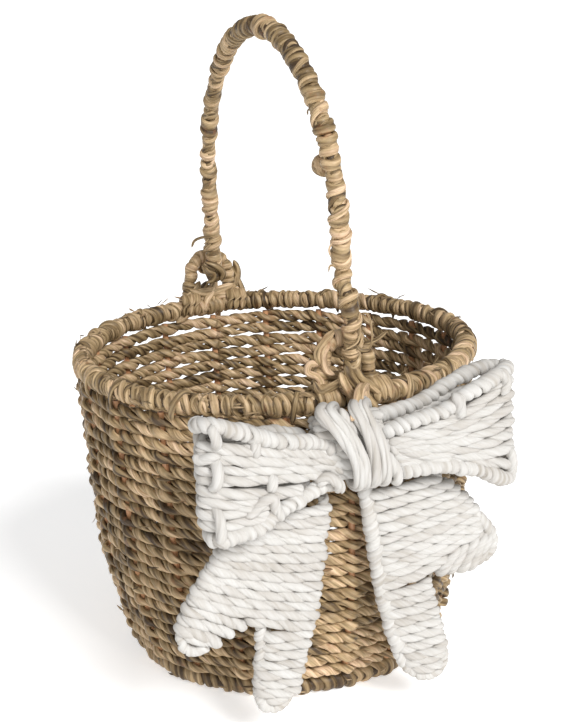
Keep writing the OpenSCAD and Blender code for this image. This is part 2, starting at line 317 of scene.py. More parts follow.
def math_node(nt, operation, value, constant):
    """A sum or product of a socket's value and a number."""
    nd = nt.nodes.new("ShaderNodeMath")
    nd.operation = operation
    nt.links.new(value, nd.inputs[0])
    nd.inputs[1].default_value = constant
    return nd


def fibre_material(name, palette, dark, rough, bump, fine, spec, mix_dark, blotch=None):
    """Leaf or paper fibre: each strand has its own tone, and streaks run along it."""
    mt, nt, bs = material(name)
    L = nt.links.new
    fib, tone = attribute(nt, "fib"), attribute(nt, "tone")
    col = ramp(nt, palette)
    # the tone of each strand, with a slow drift through the object
    place = nt.nodes.new("ShaderNodeTexCoord").outputs["Object"]
    big = node(nt, "ShaderNodeTexNoise", Scale=38.0, Detail=2.0)
    L(place, big.inputs["Vector"])
    drift = math_node(nt, "MULTIPLY_ADD", big.outputs["Fac"], 0.35)
    base = math_node(nt, "ADD", tone.outputs["Fac"], -0.175)
    L(base.outputs[0], drift.inputs[2])
    L(drift.outputs[0], col.inputs["Fac"])
    # fibres that run along the strand
    n1 = node(nt, "ShaderNodeTexNoise", Scale=fine, Detail=3.0, Roughness=0.6)
    L(fib.outputs["Vector"], n1.inputs["Vector"])
    r1 = ramp(nt, [(0.36, (0, 0, 0)), (0.62, (1, 1, 1))])
    L(n1.outputs["Fac"], r1.inputs["Fac"])
    m1 = nt.nodes.new("ShaderNodeMix")
    m1.data_type, m1.blend_type = "RGBA", "MULTIPLY"
    m1.inputs["Factor"].default_value = mix_dark
    L(col.outputs["Color"], m1.inputs["A"])
    shade = ramp(nt, [(0.0, dark), (1.0, (1, 1, 1))])
    L(r1.outputs["Color"], shade.inputs["Fac"])
    L(shade.outputs["Color"], m1.inputs["B"])
    last = m1.outputs["Result"]
    if blotch:
        n2 = node(nt, "ShaderNodeTexNoise", Scale=120.0, Detail=3.0, Roughness=0.7)
        L(place, n2.inputs["Vector"])
        r2 = ramp(nt, [(0.60, (0, 0, 0)), (0.74, (1, 1, 1))])
        L(n2.outputs["Fac"], r2.inputs["Fac"])
        m2 = nt.nodes.new("ShaderNodeMix")
        m2.data_type = "RGBA"
        L(math_node(nt, "MULTIPLY", r2.outputs["Color"], 0.6).outputs[0], m2.inputs["Factor"])
        L(last, m2.inputs["A"])
        m2.inputs["B"].default_value = (*blotch, 1)
        last = m2.outputs["Result"]
    L(last, bs.inputs["Base Color"])
    mr = node(nt, "ShaderNodeMapRange", From_Min=0.3, From_Max=0.7, To_Min=rough + 0.12, To_Max=rough - 0.08)
    L(n1.outputs["Fac"], mr.inputs["Value"])
    L(mr.outputs["Result"], bs.inputs["Roughness"])
    bs.inputs["Specular IOR Level"].default_value = spec
    bp = node(nt, "ShaderNodeBump", Strength=bump, Distance=0.0006)
    L(n1.outputs["Fac"], bp.inputs["Height"])
    L(bp.outputs["Normal"], bs.inputs["Normal"])
    return mt


def metal_material(name, scale, stretch, stops, rough, metallic=0.0, bump=0.0):
    """Coated or bare metal whose colour drifts; stretch draws its pattern out along Z."""
    mt, nt, bs = material(name)
    L = nt.links.new
    nz = node(nt, "ShaderNodeTexNoise", Scale=scale, Detail=3.0)
    mp = nt.nodes.new("ShaderNodeMapping")
    mp.inputs["Scale"].default_value = (1, 1, stretch)
    L(nt.nodes.new("ShaderNodeTexCoord").outputs["Object"], mp.inputs["Vector"])
    L(mp.outputs["Vector"], nz.inputs["Vector"])
    rp = ramp(nt, stops)
    L(nz.outputs["Fac"], rp.inputs["Fac"])
    L(rp.outputs["Color"], bs.inputs["Base Color"])
    bs.inputs["Metallic"].default_value = metallic
    bs.inputs["Roughness"].default_value = rough
    if bump:
        bp = node(nt, "ShaderNodeBump", Strength=bump, Distance=0.0003)
        L(nz.outputs["Fac"], bp.inputs["Height"])
        L(bp.outputs["Normal"], bs.inputs["Normal"])
    return mt


SEA = fibre_material("seagrass", [
    (0.00, (0.075, 0.045, 0.020)), (0.18, (0.200, 0.135, 0.062)), (0.36, (0.350, 0.250, 0.128)),
    (0.55, (0.510, 0.370, 0.205)), (0.78, (0.660, 0.480, 0.285)), (1.00, (0.770, 0.560, 0.370))],
    dark=(0.30, 0.23, 0.16), rough=0.44, bump=1.0, fine=2.2, spec=0.38, mix_dark=0.68,
    blotch=(0.30, 0.13, 0.055))
PAPER = fibre_material("paper_rope", [
    (0.0, (0.41, 0.380, 0.34)), (0.3, (0.500, 0.478, 0.45)), (0.6, (0.555, 0.541, 0.518)),
    (1.0, (0.585, 0.574, 0.554))],
    dark=(0.85, 0.83, 0.79), rough=0.75, bump=0.6, fine=2.4, spec=0.2, mix_dark=0.6)
ROD = metal_material("coated_rod", 260.0, 0.15, [(0.3, (0.44, 0.21, 0.10)), (0.7, (0.60, 0.33, 0.17))],
                     rough=0.42, bump=0.15)
WIRE = metal_material("steel_wire", 400.0, 1, [(0.3, (0.20, 0.17, 0.14)), (0.7, (0.34, 0.31, 0.27))],
                      rough=0.45, metallic=0.9)


def cad_material(name):
    if name in ("stakes", "floor_rods"):
        return ROD
    if name.endswith("wire"):
        return WIRE
    return PAPER if name.startswith(("bow", "tail")) and name != "bow_tie" else SEA


for n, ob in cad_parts.items():
    if len(ob.material_slots):
        for sl in ob.material_slots:
            sl.material = cad_material(n)
    else:
        ob.data.materials.append(cad_material(n))

# ---------------------------------------------------------------- basket wall
# height and radius of the wall's middle, and the places of its rods and rows
WALL = [(12.2, 77.3), (22, 80.6), (36, 83.6), (55, 88.8), (90, 91.5), (131, 93.9), (147.6, 94.4)]
STAKES = 20
ROWS, Z0, Z1 = 22, 14.5, 143.9
RIM_R, RIM_Z = 94.5, 153.5
FOOT_R, FOOT_Z = 72.2, 5.2
FLOOR_Z, FLOOR_PITCH = 10.2, 5.9


def wall_r(z):
    return np.interp(z, [w[0] for w in WALL], [w[1] for w in WALL])


def front(theta, r, z):
    """A point at an angle from the front, -Y, towards +X; millimetres in, metres out."""
    return np.stack([r * np.sin(theta), -r * np.cos(theta), z + 0 * theta], -1) * MM


def past_rods(th, r, width):
    """1 where a row passes a rod, falling to 0 between the rods."""
    d = np.abs((th / TAU * STAKES + 0.5) % 1 - 0.5) / STAKES * TAU * r
    return np.exp(-(d / width) ** 2)


def twined_row(k, z):
    """Two plies that twist round each other and swell where they pass a rod."""
    R = float(wall_r(z))
    n = int(TAU * R / 0.95)
    th = np.arange(n) / n * TAU + math.pi
    cyc = TAU * R
    s = (th - math.pi) * R
    g = np.random.default_rng(100 + k)
    bump = past_rods(th, R, 4.2)
    wob = 0.7 * noise1(s, 40 + k, 22, cyc) + 0.5 * noise1(s, 70 + k, 9, cyc)
    res = []
    for p in (0, 1):
        ph = -30 * th + math.pi * p + 0.35 * (1 - bump) * noise1(s, 300 + k, 14, cyc)
        ar = (1.5 + 1.6 * bump) * (1 + 0.22 * noise1(s, 500 + k * 2 + p, 7, cyc))
        az = 1.62 * (1 + 0.16 * noise1(s, 700 + k * 2 + p, 8, cyc))
        rad = ar * np.cos(ph)
        zz = z + wob + az * np.sin(ph)
        rr = wall_r(zz) + rad + 0.35 * noise1(s, 20 + k, 24, cyc)
        P = front(th, rr, zz)
        c = front(th, wall_r(z), np.full(n, z) + wob)
        a = 2.12 * (1 + 0.2 * noise1(s, 900 + k * 2 + p, 7, cyc)
                    + 0.08 * noise1(s, 1100 + k * 2 + p, 3, cyc))
        b = 1.5 * (1 + 0.12 * noise1(s, 1300 + k * 2 + p, 6, cyc))
        tone = np.clip(0.42 + 0.30 * noise1(s, 1500 + k * 2 + p, 24, cyc)
                       + 0.24 * noise1(s, 1700 + k * 2 + p, 8, cyc) + g.uniform(-0.1, 0.1), -0.1, 1)
        st = strand(P, unit(P - c), a * MM, b * MM, sides=12, closed=True, tone=0, tone_var=0.05,
                    seed=k * 2 + p, ridge=0.17, lobes=3)
        st["tone"] = st["tone"] + np.repeat(tone, 12)
        # painted light: the wall is painted paler between the bow's tails and round the back, as if more
        # light fell there
        x, y = st["V"][:, 0], st["V"][:, 1]
        st["tone"] = st["tone"] + np.where(y < 0, 0.2 * np.exp(-((x - 0.004) / 0.03) ** 2), 0.12)
        res.append(st)
    return res


row_z = np.linspace(Z0, Z1, ROWS)
for i, (lo, hi) in enumerate([(0, 6), (6, 12), (12, 17), (17, 22)]):
    st = []
    for k in range(lo, hi):
        st += twined_row(k, row_z[k])
    build("woven_rows_%d" % (i + 1), st, SEA, "basket",
          ("weave_outer_ply", "weave_inner_ply") if i == 0 else ())


# ---------------------------------------------------------------- floor
def floor_row(k, r):
    n = max(40, int(TAU * r / 0.95))
    th = np.arange(n) / n * TAU
    half = 3 if r > 42 else 1
    cyc = TAU * r
    s = th * r
    bump = past_rods(th, r, 3.5)
    res = []
    for p in (0, 1):
        ph = -10 * half * th + math.pi * p
        zz = FLOOR_Z + (1.3 + 1.5 * bump) * np.cos(ph)
        rr = r + 1.75 * np.sin(ph) + 0.3 * noise1(s, 2000 + k, 15, cyc)
        P = front(th, rr, zz)
        c = front(th, np.full(n, r), np.full(n, FLOOR_Z))
        st = strand(P, unit(P - c), 2.35 * MM, 1.45 * MM, sides=8, closed=True,
                    tone=0.42, tone_var=0.2, seed=60 + k * 2 + p, lobes=4)
        res.append(st)
    return res


st = []
for k, r in enumerate(np.arange(6.0, 70.0, FLOOR_PITCH)):
    st += floor_row(k, r)
build("woven_floor", st, SEA, "basket", ("floor_weave_top", "floor_weave_bottom"))


# ---------------------------------------------------------------- rim and foot
def ring_path(r, z, n=360):
    t = np.arange(n) / n * TAU
    return front(t, np.full(n, r), np.full(n, z))


def core(path, r, closed=False, tone=0.1, seed=1):
    """A plain strand inside a wrapping, so that its gaps are backed."""
    C = resample(path, 2.0 * MM, closed)
    return strand(C, (0.01, 0.02, 1.0), r, r, sides=12, closed=closed, tone=tone, seed=seed)


rim = ring_path(RIM_R, RIM_Z)
st = [wrap(rim, (0, 0, 1), 4.5 * MM, 5.6 * MM, 2.05 * MM, 1.7 * MM, 7, closed=True, slant=2.2 * MM,
           jit=1.0 * MM, rough=0.75 * MM, tone=(0.1, 1.0), sides=12, ridge=0.2, lobes=3, fibre_twist=60),
      wrap(rim, (0, 0, -1), 4.5 * MM, 5.2 * MM, 1.2 * MM, 1.2 * MM, 9, closed=True, slant=2.2 * MM,
           jit=0.9 * MM, rough=0.6 * MM, tone=(0.0, 0.8), sides=9, ridge=0.18, lobes=3, fibre_twist=60)]
# painted shade: the core under the wrapping gets the darkest tone, so the gaps between the turns look shaded
st.append(core(rim, 3.6 * MM, True, tone=-0.3))
build("rim_wrapping", st, SEA, "basket", ("rim_wrap",))

# strands of the rim that reach down over the top row, and pairs that cross on it
st = []
g = np.random.default_rng(12)
for i in range(16):
    th = TAU * (i + g.uniform(-0.4, 0.4)) / 16
    lo = g.uniform(143.0, 146.5)
    dth = g.uniform(0.02, 0.05)
    Q = [(th - dth, 97.6, lo), (th - dth * 0.7, 99.3, 150.0), (th - dth * 0.2, 98.9, 155.6),
         (th + dth * 0.4, 95.4, 158.6), (th + dth, 90.8, 156.4)]
    P = [(r * math.sin(t), -r * math.cos(t), z) for t, r, z in Q]
    C = resample(np.array(P) * MM, FINE)
    mid = np.array([RIM_R * math.sin(th), -RIM_R * math.cos(th), RIM_Z - 0.5]) * MM
    st.append(strand(C, unit(C - mid), g.uniform(1.2, 1.8) * MM, 0.85 * MM, sides=10, seed=1200 + i,
                     tone=g.uniform(0.15, 0.7), tone_var=0.15, ridge=0.12, lobes=3, taper=3 * MM))
build("rim_cross_strands", st, SEA, "basket")

foot = ring_path(FOOT_R, FOOT_Z)
st = [wrap(foot, (0, 0, 1), 5.3 * MM, 5.7 * MM, 2.6 * MM, 1.8 * MM, 8, closed=True, slant=2.4 * MM,
           jit=1.1 * MM, rough=0.8 * MM, tone=(0.0, 0.75), sides=13, ridge=0.13, lobes=3, fibre_twist=60,
           zmin=0.0)]
# painted shade: the core under the wrapping gets the darkest tone, so the gaps between the turns look shaded
st.append(core(foot, 3.4 * MM, True, tone=-0.3))
build("foot_wrapping", st, SEA, "basket", ("foot_wrap",))

# short loose ends of leaf all over the wall, the rim and the foot
st = []
g = np.random.default_rng(5)
for i in range(230):
    th, u = g.uniform(0, TAU), g.uniform()
    if u < 0.62:
        z = g.uniform(10, 144)
        sgn = 1 if g.uniform() < 0.7 else -1
        r, out, dz = float(wall_r(z)) + sgn * 4.3, sgn, g.uniform(-2.5, 2.5)
    elif u < 0.9:
        a = g.uniform(-0.3, 2.6)
        r, z = RIM_R + 5.4 * math.cos(a), RIM_Z + 5.4 * math.sin(a)
        out, dz = math.cos(a), 2.5 * math.sin(a)
    else:
        r, z, out, dz = FOOT_R + 5.4, g.uniform(3, 8), 1, g.uniform(-0.5, 1.5)
    ln, lift = g.uniform(3, 8), g.uniform(0.2, 1.4 if u < 0.62 else 0.6)
    d = g.choice([-1, 1]) * ln / r
    Q = [(th, r, z), (th + d * 0.5, r + out * lift, z + dz * 0.4),
         (th + d, r + out * lift * 2.2, max(z + dz, 0.8))]
    P = [(r * math.sin(t), -r * math.cos(t), z) for t, r, z in Q]
    C = resample(np.array(P) * MM, 0.8 * MM)
    o = np.array([math.sin(th) * out, -math.cos(th) * out, 0.3])
    w = g.uniform(0.35, 1.0) * MM
    st.append(strand(C, o, w, w * 0.4, sides=6, seed=3000 + i, tone=g.uniform(0.1, 0.95), ridge=0.05,
                     taper=4 * MM))
build("loose_ends", st, SEA, "basket")

# ---------------------------------------------------------------- ears
PIN_Z = 173.4


def ear_points(y, foot=158.0):
    """An ear's loop: a round top on two legs that spread downwards."""
    r, z0, a0 = 10.0, 170.6, math.radians(10)
    c, z = r * math.cos(a0), z0 + r * math.sin(a0)
    d = z - foot
    pts = [(c + d * math.tan(a0), y, foot)]
    for i in range(9):
        a = a0 + i * (math.pi - 2 * a0) / 8
        pts.append((r * math.cos(a), y, z0 + r * math.sin(a)))
    pts.append((-c - d * math.tan(a0), y, foot))
    return np.array(pts) * MM


def strip(P, out, w, t, seed, tone=0.6, **kw):
    """A flat strip of leaf."""
    kw.setdefault("taper", 3 * MM)
    return strand(resample(np.array(P, float) * MM, FINE), out, w * MM, t * MM, sides=10, seed=seed,
                  tone=tone, tone_var=0.15, ridge=0.1, lobes=3, fibre_twist=40, **kw)


for name, y, sd in (("ear_front", -88.6, 21), ("ear_back", 98, 25)):
    ep = ear_points(y)
    s0 = 1 if y > 0 else -1
    st = [wrap(ep, (0, 1, 0), 4.9 * MM, 4.3 * MM, 2.7 * MM, 1.7 * MM, sd, slant=1.2 * MM, jit=0.6 * MM,
               rough=0.45 * MM, tone=(0.35, 0.95), sides=12, ridge=0.12, lobes=3, taper=3 * MM),
          core(ep, 2.4 * MM)]
    # lashings over the ear's feet, down on to the rim
    for fx, k in ((-13.0, 0), (13.0, 1)):
        for q in range(3):
            x = fx + (q - 1) * 3.4
            yr = s0 * math.sqrt(RIM_R ** 2 - x * x)
            st.append(strip([(x - 1.5, yr - s0 * 6.0, 151), (x - 0.6, yr - s0 * 5.4, 157.5),
                             (x + 0.3, yr - s0 * 0.5, 160.3), (x + 1.0, yr + s0 * 5.0, 157.4),
                             (x + 1.6, yr + s0 * 6.1, 151.5)], (0, s0 * 0.3, 1), 2.2, 1.1,
                            sd * 10 + q + 5 * k, tone=0.45 + 0.12 * q))
    for q in range(3):
        st.append(strip([(-12.5 + 2 * q, y - s0 * 3.4, 163.5 - q), (-6, y - s0 * 4.4, 160.8 + q * 0.6),
                         (2, y - s0 * 4.2, 160.0 + q), (9 + 2 * q, y - s0 * 3.6, 161.5 + q)],
                        (0, -s0, 0.4), 1.9, 1.0, sd * 7 + q, tone=0.5 + 0.1 * q))
    build(name + "_wrapping", st, SEA, "basket", (name + "_wrap",))

# ---------------------------------------------------------------- handle
# reach of the arch front and back, its height, and how far out the front leg bends
SPAN, TOP, LEG = 88.5, 310.0, 97.8
hz = TOP - SPAN


def lean(z):
    """How far out the front leg is at a height."""
    t = np.clip((211 - z) / 20, 0, 1)
    return SPAN + (LEG - SPAN) * t * t * (3 - 2 * t)


hp = [(0, SPAN, z) for z in np.linspace(169.5, hz - 4, 12)] + [
    (0, SPAN * math.cos(a), hz + SPAN * math.sin(a)) for a in np.linspace(0, math.pi, 61)] + [
    (0, -float(lean(z)), z) for z in np.linspace(hz - 4, 167.0, 24)]
hp = np.array(hp) * MM
HL = float(np.linalg.norm(np.diff(hp, axis=0), axis=1).sum())


def arch(pos):
    """The wrapping is thicker over the top of the arch and thinner down the front leg."""
    top = 0.85 * np.exp(-((pos - HL * 0.5) / (62 * MM)) ** 2)
    return (top - 0.35 * np.clip((pos / HL - 0.8) / 0.1, 0, 1)) * MM


st = [wrap(hp, (1, 0, 0), 5.0 * MM, 4.95 * MM, 2.6 * MM, 1.95 * MM, 31, slant=2.2 * MM, jit=1.1 * MM,
           rough=0.75 * MM, tone=(0.15, 1.0), sides=14, ridge=0.2, lobes=3, fibre_twist=150, taper=4 * MM,
           drop=arch),
      wrap(hp, (-1, 0, 0), 5.0 * MM, 4.25 * MM, 1.5 * MM, 1.1 * MM, 33, slant=2.2 * MM, jit=1.0 * MM,
           rough=0.5 * MM, tone=(0.1, 0.75), sides=10, ridge=0.17, lobes=3, fibre_twist=150, taper=4 * MM,
           drop=arch),
      # painted shade: the core under the wrapping gets the darkest tone, so the gaps between the turns look
      # shaded
      core(hp, 2.6 * MM, tone=-0.3)]
# a second, thinner strand that crosses the first here and there
for lo, hi, sd in ((0.30, 0.44, 3), (0.60, 0.72, 4), (0.78, 0.99, 5), (0.01, 0.12, 6)):
    C = resample(hp, 1.5 * MM)
    part = C[int(lo * len(C)):int(hi * len(C))]
    st.append(wrap(part, (1, 0, 0), 9.5 * MM, 5.3 * MM, 1.5 * MM, 0.8 * MM, 130 + sd, slant=1.0 * MM,
                   jit=1.6 * MM, rough=0.35 * MM, tone=(0.6, 1.0), sides=8, ridge=0.1, lobes=2, taper=6 * MM))
# painted shade: darker over the top of the arch; darker also at the feet
for w in st:
    z = w["V"][:, 2] / MM
    w["tone"] = w["tone"] - 0.28 * np.clip((z - 282) / 20, 0, 1) - 0.14 * np.clip((205 - z) / 15, 0, 1)
build("handle_wrapping", st, SEA, "handle", ("handle_wrap", "handle_lashings"))

# the knot on the handle's inner side: four rings that cross, each given by two directions
kn = np.array([(0.5, -72.5, 254.5)]) * MM
st = []
for i, (a, b) in enumerate((((1, 0, 0.2), (0, 0.5, 0.9)), ((0.3, 1, 0), (0.2, 0, 1)),
                            ((1, 0.4, -0.3), (0, 0.8, 0.5)), ((0.1, 0.8, -0.6), (0.9, 0.1, 0.3)))):
    a, b = unit(np.array(a, float)), np.array(b, float)
    b = unit(b - (a * b).sum() * a)
    t = np.arange(46) / 46 * TAU
    P = kn + (np.cos(t)[:, None] * a * 4.6 + np.sin(t)[:, None] * b * 3.8) * MM
    st.append(strand(P, unit(P - kn), 2.5 * MM, 1.6 * MM, sides=12, closed=True, tone=0.45 + 0.13 * i,
                     seed=80 + i, lobes=3))
P = np.array([kn[0] + np.array([0, 0, z]) * MM for z in (-3, 0, 3)])
st.append(strand(P, (0, 1, 0), 3 * MM, 3 * MM, tone=0.2, seed=3))
build("handle_knot_strands", st, SEA, "handle", ("handle_knot",))

# loose fibre ends at the lashings
st = []
for i, (P, w) in enumerate((
        ([(-1, 84, 193), (-6, 82, 194.5), (-12, 81, 193.5), (-14.5, 80, 190)], 0.75),
        ([(-2, 84, 190), (-5, 82, 189), (-8.5, 81, 186.5)], 0.7),
        ([(-2, 84, 194), (-5, 83, 191.5), (-7, 82, 190.6)], 0.5),
        ([(-3.5, -91.5, 213), (-6.8, -92, 214), (-7.6, -92, 211)], 0.5),
        ([(-4.5, -90.5, 224), (-6.6, -91, 221), (-6.0, -91, 217.5)], 0.5),
        ([(4, -100, 179), (9, -103, 181), (14, -104, 184.5)], 1.0),
        ([(4.5, -99, 193), (6.8, -101, 192), (7.6, -102, 186), (7.4, -102.5, 180), (5.5, -102, 176)], 0.55),
        ([(2, -60.5, 279), (0, -56, 276.5), (1, -53.5, 274)], 0.6))):
    st.append(strip(P, (0.2, -1, 0.3), w, w * 0.5, 400 + i, tone=0.35 + 0.1 * (i % 5), taper=2 * MM))
build("handle_loose_ends", st, SEA, "handle")


def pin_wrap(y0, y1, sd, pitch, r_out, a, b, rough, taper):
    """A wrapping along the hinge's axis, and its path."""
    P = np.array([(0, y0, PIN_Z), (0, (y0 + y1) / 2, PIN_Z), (0, y1, PIN_Z)]) * MM
    return wrap(P, (0, 0, 1), pitch * MM, r_out * MM, a * MM, b * MM, sd, jit=0.1 * MM, rough=rough * MM,
                taper=taper * MM), P


st = [pin_wrap(y0, y1, sd, 1.9, 2.75, 1.1, 0.5, 0.1, 1)[0]
      for y0, y1, sd in ((-92.5, -84.4, 41), (93.5, 101.9, 42))]
build("hinge_sleeve_wraps", st, SEA, "handle", ("hinge_sleeves",))
st = []
for y0, y1, sd in ((-84.0, -79.8, 43), (102.6, 106.8, 44)):
    curl, P = pin_wrap(y0, y1, sd, 2.1, 4.6, 1.25, 1.2, 0.2, 2)
    st += [curl, core(P, 3.2 * MM, tone=0.3)]
build("hinge_curl_wraps", st, SEA, "handle", ("hinge_curls",))

# strands that run from the ears' feet over the rim, and lumps at the handle's feet
BACK_STRANDS = [
    [[-1.5, 95.5, 166.8], [-6.4, 95, 160.4], [-13, 93.5, 155.3], [-19.4, 92, 152.0], [-25.2, 90, 148.6]],
    [[0.4, 95, 165.2], [-3.8, 94.5, 158.8], [-9.8, 92.5, 153.7], [-17, 90, 150.7], [-23, 88, 147.8]],
    [[-5.7, 96, 167.2], [-9.9, 95, 161.9], [-16.6, 93, 157.0], [-22.4, 91, 154.3]],
    [[3.3, 94.8, 167.7], [0.6, 94.2, 161.6], [-3.3, 92, 157.2], [-6.2, 88.5, 152.0]],
    [[-0.6, 95, 161.1], [5.9, 95, 160.7], [12.4, 95, 159.0], [16.5, 96, 161.1]],
    [[1.1, 94, 157.6], [6.6, 93, 158.5], [11.2, 92, 156.4], [11.7, 89, 153.1]],
    [[9.6, 99, 175.2], [13.9, 99.5, 171.1], [17.2, 100, 165.3], [18.5, 97, 160.4], [19.1, 92, 153.6]],
    [[15.4, 99, 175.9], [17.7, 100, 169.1], [15.8, 99, 163.1], [11, 97, 159.6]],
    [[-7, 86, 178.4], [-5, 84, 174.5], [-1.6, 84, 172.9], [-2.4, 85, 169.5], [-5.4, 86, 168.3]],
    [[-6.1, 84, 180.1], [-0.4, 82.5, 177.7], [3.4, 83, 173.6], [2.8, 85, 168.4]],
]
FRONT_STRANDS = [
    [[-5, -101, 171.1], [-2.4, -101.5, 165.2], [2, -100.5, 159.6], [6.9, -100, 153.0], [10.9, -99, 148.0]],
    [[-0.7, -100.5, 170.4], [2.2, -101, 164.4], [6.9, -100.5, 160.1], [13.5, -99, 154.0]],
    [[-7.7, -101.5, 168.3], [-5.7, -102, 162.4], [-1.3, -101, 155.7], [5.4, -100.5, 150.1]],
    [[-6, -92, 184.9], [-11.2, -91, 178.6], [-13.7, -91, 174.4], [-12.3, -91.5, 169.1]],
    [[-8.4, -93, 179.8], [-11.4, -92.5, 174.4], [-10.4, -92.5, 167.4], [-7, -94, 165.0]],
    [[-12.7, -91, 169.6], [-17.4, -91, 170.9], [-18.8, -91, 167.1], [-14.1, -91, 164.1],
     [-12.9, -92, 160.7], [-17.9, -94, 160.3]],
    [[-18, -96, 164.3], [-15.6, -97, 159.6], [-11.2, -98, 161.0], [-7.2, -100, 163.8], [-5.2, -101, 166.6]],
    [[-0.3, -103, 180.0], [1.6, -104, 177.8], [5.3, -105, 177.7]],
    [[1.5, -101, 191.5], [2.1, -102, 186.2], [0.1, -103, 181.1], [-5.7, -103, 178.6]],
]

for nm, rows, body, sd, ws in (
        ("ear_back_strands", BACK_STRANDS[:8], "basket", 1500, (2.0, 1.9, 2.0, 1.9, 2.0, 1.9, 1.5, 1.7)),
        ("handle_back_ends", BACK_STRANDS[8:], "handle", 1550, (1.5, 1.6)),
        ("ear_front_strands", FRONT_STRANDS[:7], "basket", 1600, (2.0, 1.9, 1.9, 1.7, 1.5, 1.5, 1.6)),
        ("handle_twigs", FRONT_STRANDS[7:], "handle", 1700, (0.8, 0.5))):
    st = []
    for i, (P, w) in enumerate(zip(rows, ws)):
        C = resample(np.array(P, float) * MM, 0.8 * MM)
        o = unit(np.array([0.0, -1.0, 0.5]))
        st.append(strand(C, o, w * 1.1 * MM, w * 0.72 * MM, sides=12, seed=sd + i,
                         tone=0.35 + 0.11 * (i * 7 % 6), tone_var=0.2, ridge=0.16, lobes=3,
                         fibre_twist=130, taper=(3.5 if w > 1 else 2) * MM))
    build(nm, st, SEA, body)


# ---------------------------------------------------------------- bow
def cord(P, out, seed, p=1.7, o=1.05, lay=18.0, tone=0.5, taper=1.6, wob=0.35, plies=2):
    """A soft paper cord along P, in millimetres: plies of half thickness p lie o off the middle
    and turn once in a length lay."""
    C = resample(np.array(P, float) * MM, FINE)
    t = np.arange(len(C)) * STEP
    C = C + np.stack([noise1(t, seed + 31 + k, 9.0) for k in range(3)], 1) * wob * MM
    T = tangents(C, False)
    U = square_to(out, T)
    W = np.cross(T, U)
    s = run_length(C)
    ph = TAU * s / (lay * MM) + seed * 1.7 + 0.5 * noise1(s, seed + 2, 0.02)
    st = []
    for k in range(plies):
        a = ph + TAU * k / plies
        D = U * np.cos(a)[:, None] + W * np.sin(a)[:, None]
        w = p * MM * (1 + 0.13 * noise1(s, seed * 3 + k, 0.012))
        st.append(strand(C + D * o * MM, D, w * 1.25, w, sides=12, seed=seed * 2 + k, tone=tone,
                         tone_var=0.3, ridge=0.07, lobes=3, fibre_twist=70, crease_shade=0.35, taper=taper * MM))
    return st


def outward(P):
    """For a path that goes round a loop in plan: away from the loop's middle line."""
    C = resample(np.array(P, float) * MM, FINE)
    T = tangents(C, False)
    n = np.stack([T[:, 1], -T[:, 0], 0 * T[:, 0]], 1)
    return unit(n + 1e-6)


LEFT_TOP = [
    [-75.9, -117.6, 159.9], [-73.0, -119.7, 159.4], [-69.8, -120.3, 158.8], [-63.4, -120.9, 156.2],
    [-56.6, -120.5, 153.0], [-48.3, -120.0, 149.7], [-39.4, -118.3, 146.7], [-30.0, -115.7, 144.4],
    [-20.7, -113.7, 141.5], [-12.3, -112.5, 139.4]]
LEFT_BOTTOM = [
    [-73.0, -119.7, 108.0], [-70.4, -120.2, 109.1], [-65.8, -121.0, 109.9], [-60.1, -120.7, 110.1],
    [-55.1, -120.4, 111.2], [-49.9, -120.1, 114.3], [-44.0, -119.5, 117.2], [-39.1, -118.2, 118.7],
    [-34.3, -116.9, 119.5], [-29.4, -115.6, 121.0], [-23.7, -114.2, 122.4], [-17.5, -113.1, 122.3]]


def front_row(side, ax, az, bx, bz, sag):
    """A cord across the front of a loop, from (ax, az) to (bx, bz), on the loop's curved face."""
    xs, ys = {"left": ((-78, -70, -56, -44, -26, -12), (-115.4, -120.4, -120.6, -119.3, -114.6, -112.4)),
              "right": ((8, 18, 35, 49, 60, 67), (-114, -116.8, -119.9, -120.8, -119.9, -116.4))}[side]
    t = np.array((0, 0.2, 0.4, 0.6, 0.8, 1))
    x = ax + (bx - ax) * t
    z = az + (bz - az) * t - 4 * sag * t * (1 - t)
    return [[a, float(np.interp(a, xs, ys)), b] for a, b in zip(x, z)]


LEFT_ROWS = [front_row("left", -76.2, 150 - 4.9 * i, -14.5, 134.8 - 2.9 * i, -0.9) for i in range(4)] + [
    front_row("left", -76.8, 130.5, -33, 122.8, 0.2)] + [
    front_row("left", -77.2, 125.5 - 5.1 * i, -46.2, 121.9, 0.9 * i) for i in range(2)] + [
    front_row("left", -76.1, 115, -49.8, 117.1, 1.0)]
LEFT_OVER = [
    [-74.6, -121.4, 161.3], [-73.1, -122.6, 154.0], [-72.6, -117.2, 149.5], [-72.6, -117.2, 145.5],
    [-73.0, -122.8, 141.0], [-73.3, -122.8, 135.0], [-73.5, -117.2, 130.5], [-73.6, -117.2, 124.5],
    [-73.5, -122.6, 119.0], [-73.1, -122.6, 112.5], [-72.7, -120.9, 107.9]]
LEFT_BITS = [
    [[-81.1, -114.6, 146.2], [-78.7, -116.6, 144.4], [-75.4, -119.9, 145.9], [-71, -121.5, 146.3]],
    [[-55.2, -121.3, 151.8], [-55.4, -122.4, 147.5], [-55.5, -121.0, 143.4]],
    [[-48.6, -120.5, 134.5], [-49.2, -122.3, 130.5], [-49.6, -120.7, 126.4]],
    [[-60.9, -121.6, 116.6], [-50.1, -122.7, 124.7], [-47.5, -122.2, 118.9], [-44.8, -121.4, 113.5]],
    [[-19.1, -114.0, 143.3], [-19.1, -116.0, 139.8], [-19.1, -114.0, 136.4]]]
